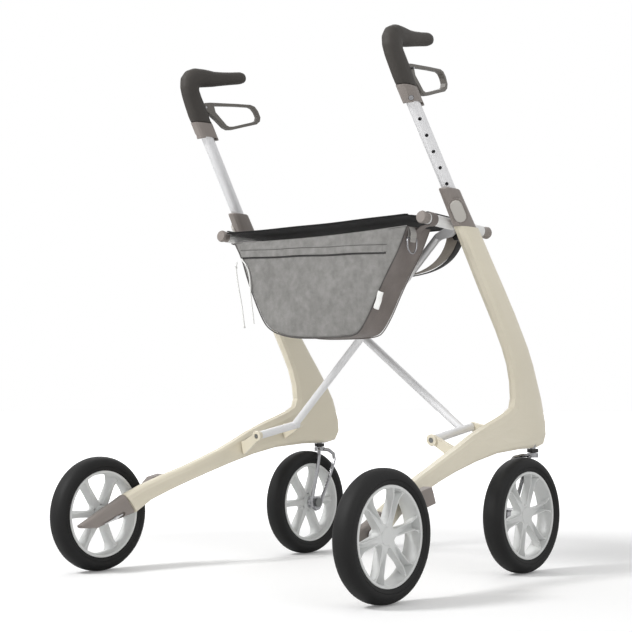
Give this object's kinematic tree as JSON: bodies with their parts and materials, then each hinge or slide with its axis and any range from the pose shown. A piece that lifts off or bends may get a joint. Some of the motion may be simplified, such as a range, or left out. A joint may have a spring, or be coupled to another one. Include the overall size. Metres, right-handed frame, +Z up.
{
  "type": "four-wheel rollator",
  "caption": "Side-folding walking frame on wheels with cloth seat and bag, telescoping handles, loop brake levers and swivelling front casters.",
  "frame": {"origin": "on the ground, under the middle of the bounding box", "axes": "+X the walking direction, toward the casters; +Y the walker's left; +Z up"},
  "size_m": [0.6664, 0.6822, 0.9113],
  "materials": {
    "cream_paint": "satin cream paint over a moulded fibre frame",
    "taupe_plastic": "moulded taupe plastic",
    "grip_rubber": "soft dark brown-grey rubber",
    "button_grey": "light grey plastic",
    "rim_plastic": "silver-grey moulded plastic",
    "tyre_rubber": "black solid rubber",
    "silver_metal": "satin anodised",
    "white_paint": "white-silver powder coat",
    "dark_plastic": "near-black moulded plastic",
    "seat_cloth": "black woven seat cloth",
    "bag_cloth": "grey mottled cloth",
    "sling_cloth": "dark taupe cloth and webbing",
    "white_cord": "white braided cord"
  },
  "bodies": {
    "left_side": {"left_frame": "cream_paint", "left_socket": "taupe_plastic", "left_axle_housing": "taupe_plastic", "left_rear_axle": "silver_metal", "left_caster_bush": "dark_plastic", "left_hinge_bar": "silver_metal", "left_rail_cradle": "dark_plastic"},
    "right_side": {"right_frame": "cream_paint", "right_socket": "taupe_plastic", "right_axle_housing": "taupe_plastic", "right_rear_axle": "silver_metal", "right_caster_bush": "dark_plastic", "right_hinge_bar": "silver_metal", "right_rail_cradle": "dark_plastic"},
    "brace_a_group": {"brace_a": "silver_metal", "cross_pin": "dark_plastic", "right_seat_rail": "white_paint", "right_rail_cap_rear": "taupe_plastic", "right_rail_cap_front": "taupe_plastic"},
    "brace_b_group": {"brace_b": "silver_metal", "left_seat_rail": "white_paint", "left_rail_cap_rear": "taupe_plastic", "left_rail_cap_front": "taupe_plastic", "seat": "seat_cloth", "sling": "sling_cloth"},
    "ring": {"d_ring": "silver_metal"},
    "left_handle": {"left_handle_tube": "silver_metal", "left_collar": "taupe_plastic", "left_collar_screw": "silver_metal", "left_grip": "grip_rubber", "left_lever_pin": "silver_metal"},
    "right_handle": {"right_handle_tube": "silver_metal", "right_collar": "taupe_plastic", "right_collar_screw": "silver_metal", "right_grip": "grip_rubber", "right_lever_pin": "silver_metal"},
    "left_lever": {"left_brake_lever": "dark_plastic"},
    "right_lever": {"right_brake_lever": "dark_plastic"},
    "left_button": {"left_height_button": "button_grey"},
    "right_button": {"right_height_button": "button_grey"},
    "left_shoe": {"left_brake_shoe": "taupe_plastic", "left_brake_rod": "silver_metal"},
    "right_shoe": {"right_brake_shoe": "taupe_plastic", "right_brake_rod": "silver_metal"},
    "left_rear_wheel": {"left_rear_tyre": "tyre_rubber", "left_rear_rim": "rim_plastic"},
    "right_rear_wheel": {"right_rear_tyre": "tyre_rubber", "right_rear_rim": "rim_plastic"},
    "left_caster": {"left_caster_fork": "silver_metal", "left_front_axle": "silver_metal"},
    "right_caster": {"right_caster_fork": "silver_metal", "right_front_axle": "silver_metal"},
    "left_front_wheel": {"left_front_tyre": "tyre_rubber", "left_front_rim": "rim_plastic"},
    "right_front_wheel": {"right_front_tyre": "tyre_rubber", "right_front_rim": "rim_plastic"},
    "hanging_bag": {"bag": "bag_cloth", "zip_cord": "white_cord", "strap_tab": "sling_cloth"}
  },
  "joints": [
    {"name": "fold", "type": "hinge", "parent": "left_side", "child": "brace_a_group", "pos_m": [0.10279, 0.203, 0.24381], "axis": [-0.9833, 0, -0.1822], "range_deg": [0, 37], "deforming": ["seat", "sling", "bag", "zip_cord"]},
    {"name": "brace_cross", "type": "hinge", "parent": "brace_a_group", "child": "brace_b_group", "pos_m": [0.10626, 0, 0.42017], "axis": [0.9833, 0, 0.1822], "range_deg": [0, 74]},
    {"name": "right_hinge", "type": "hinge", "parent": "brace_b_group", "child": "right_side", "pos_m": [0.10279, -0.203, 0.24381], "axis": [-0.9833, 0, -0.1822], "range_deg": [0, 37]},
    {"name": "bag_swing", "type": "hinge", "parent": "brace_b_group", "child": "hanging_bag", "pos_m": [0.0115, 0.2262, 0.59832], "axis": [-0.9833, 0, -0.1822], "range_deg": [0, 37]},
    {"name": "left_height", "type": "slide", "parent": "left_side", "child": "left_handle", "axis": [-0.5474, -0.0427, 0.8358], "range_m": [-0.119, 0.0297]},
    {"name": "right_height", "type": "slide", "parent": "right_side", "child": "right_handle", "axis": [-0.5474, 0.0427, 0.8358], "range_m": [-0.119, 0.0297]},
    {"name": "left_button_press", "type": "slide", "parent": "left_side", "child": "left_button", "axis": [0.6655, -0.6278, 0.4037], "range_m": [0, 0.0026], "stiffness_N_per_m": 600, "springref_m": -0.002},
    {"name": "right_button_press", "type": "slide", "parent": "right_side", "child": "right_button", "axis": [0.6655, 0.6278, 0.4037], "range_m": [0, 0.0026], "stiffness_N_per_m": 600, "springref_m": -0.002},
    {"name": "left_lever_pull", "type": "hinge", "parent": "left_handle", "child": "left_lever", "pos_m": [-0.066, 0.2352, 0.8345], "axis": [-0.1219, -0.9925, 0], "range_deg": [0, 12], "stiffness_Nm_per_rad": 0.6, "springref_deg": -17.19},
    {"name": "right_lever_pull", "type": "hinge", "parent": "right_handle", "child": "right_lever", "pos_m": [-0.066, -0.2352, 0.8345], "axis": [0.1219, -0.9925, 0], "range_deg": [0, 12], "stiffness_Nm_per_rad": 0.6, "springref_deg": -17.19},
    {"name": "left_brake", "type": "slide", "parent": "left_side", "child": "left_shoe", "axis": [-0.9336, 0, -0.3584], "range_m": [0, 0.0025]},
    {"name": "right_brake", "type": "slide", "parent": "right_side", "child": "right_shoe", "axis": [-0.9336, 0, -0.3584], "range_m": [0, 0.0025]},
    {"name": "left_rear_spin", "type": "hinge", "parent": "left_side", "child": "left_rear_wheel", "pos_m": [-0.2332, 0.3225, 0.1], "axis": [0, 1, 0], "continuous": true},
    {"name": "right_rear_spin", "type": "hinge", "parent": "right_side", "child": "right_rear_wheel", "pos_m": [-0.2332, -0.3225, 0.1], "axis": [0, 1, 0], "continuous": true},
    {"name": "left_swivel", "type": "hinge", "parent": "left_side", "child": "left_caster", "pos_m": [0.2712, 0.2515, 0.2], "axis": [0, 0, 1], "continuous": true},
    {"name": "right_swivel", "type": "hinge", "parent": "right_side", "child": "right_caster", "pos_m": [0.2712, -0.2515, 0.2], "axis": [0, 0, 1], "continuous": true},
    {"name": "left_front_spin", "type": "hinge", "parent": "left_caster", "child": "left_front_wheel", "pos_m": [0.2332, 0.2536, 0.1], "axis": [0, 1, 0], "continuous": true},
    {"name": "right_front_spin", "type": "hinge", "parent": "right_caster", "child": "right_front_wheel", "pos_m": [0.2332, -0.2536, 0.1], "axis": [0, 1, 0], "continuous": true},
    {"name": "ring_swing", "type": "hinge", "parent": "hanging_bag", "child": "ring", "pos_m": [-0.00975, -0.2042, 0.566], "axis": [1, 0, 0], "range_deg": [-80, 25]}
  ],
  "couplings": [
    {"joint": "brace_cross", "follows": "fold", "ratio": 2},
    {"joint": "right_hinge", "follows": "fold", "ratio": 1},
    {"joint": "bag_swing", "follows": "fold", "ratio": 1},
    {"joint": "left_brake", "follows": "left_lever_pull", "m_per_rad": 0.01146},
    {"joint": "right_brake", "follows": "right_lever_pull", "m_per_rad": 0.01146}
  ]
}
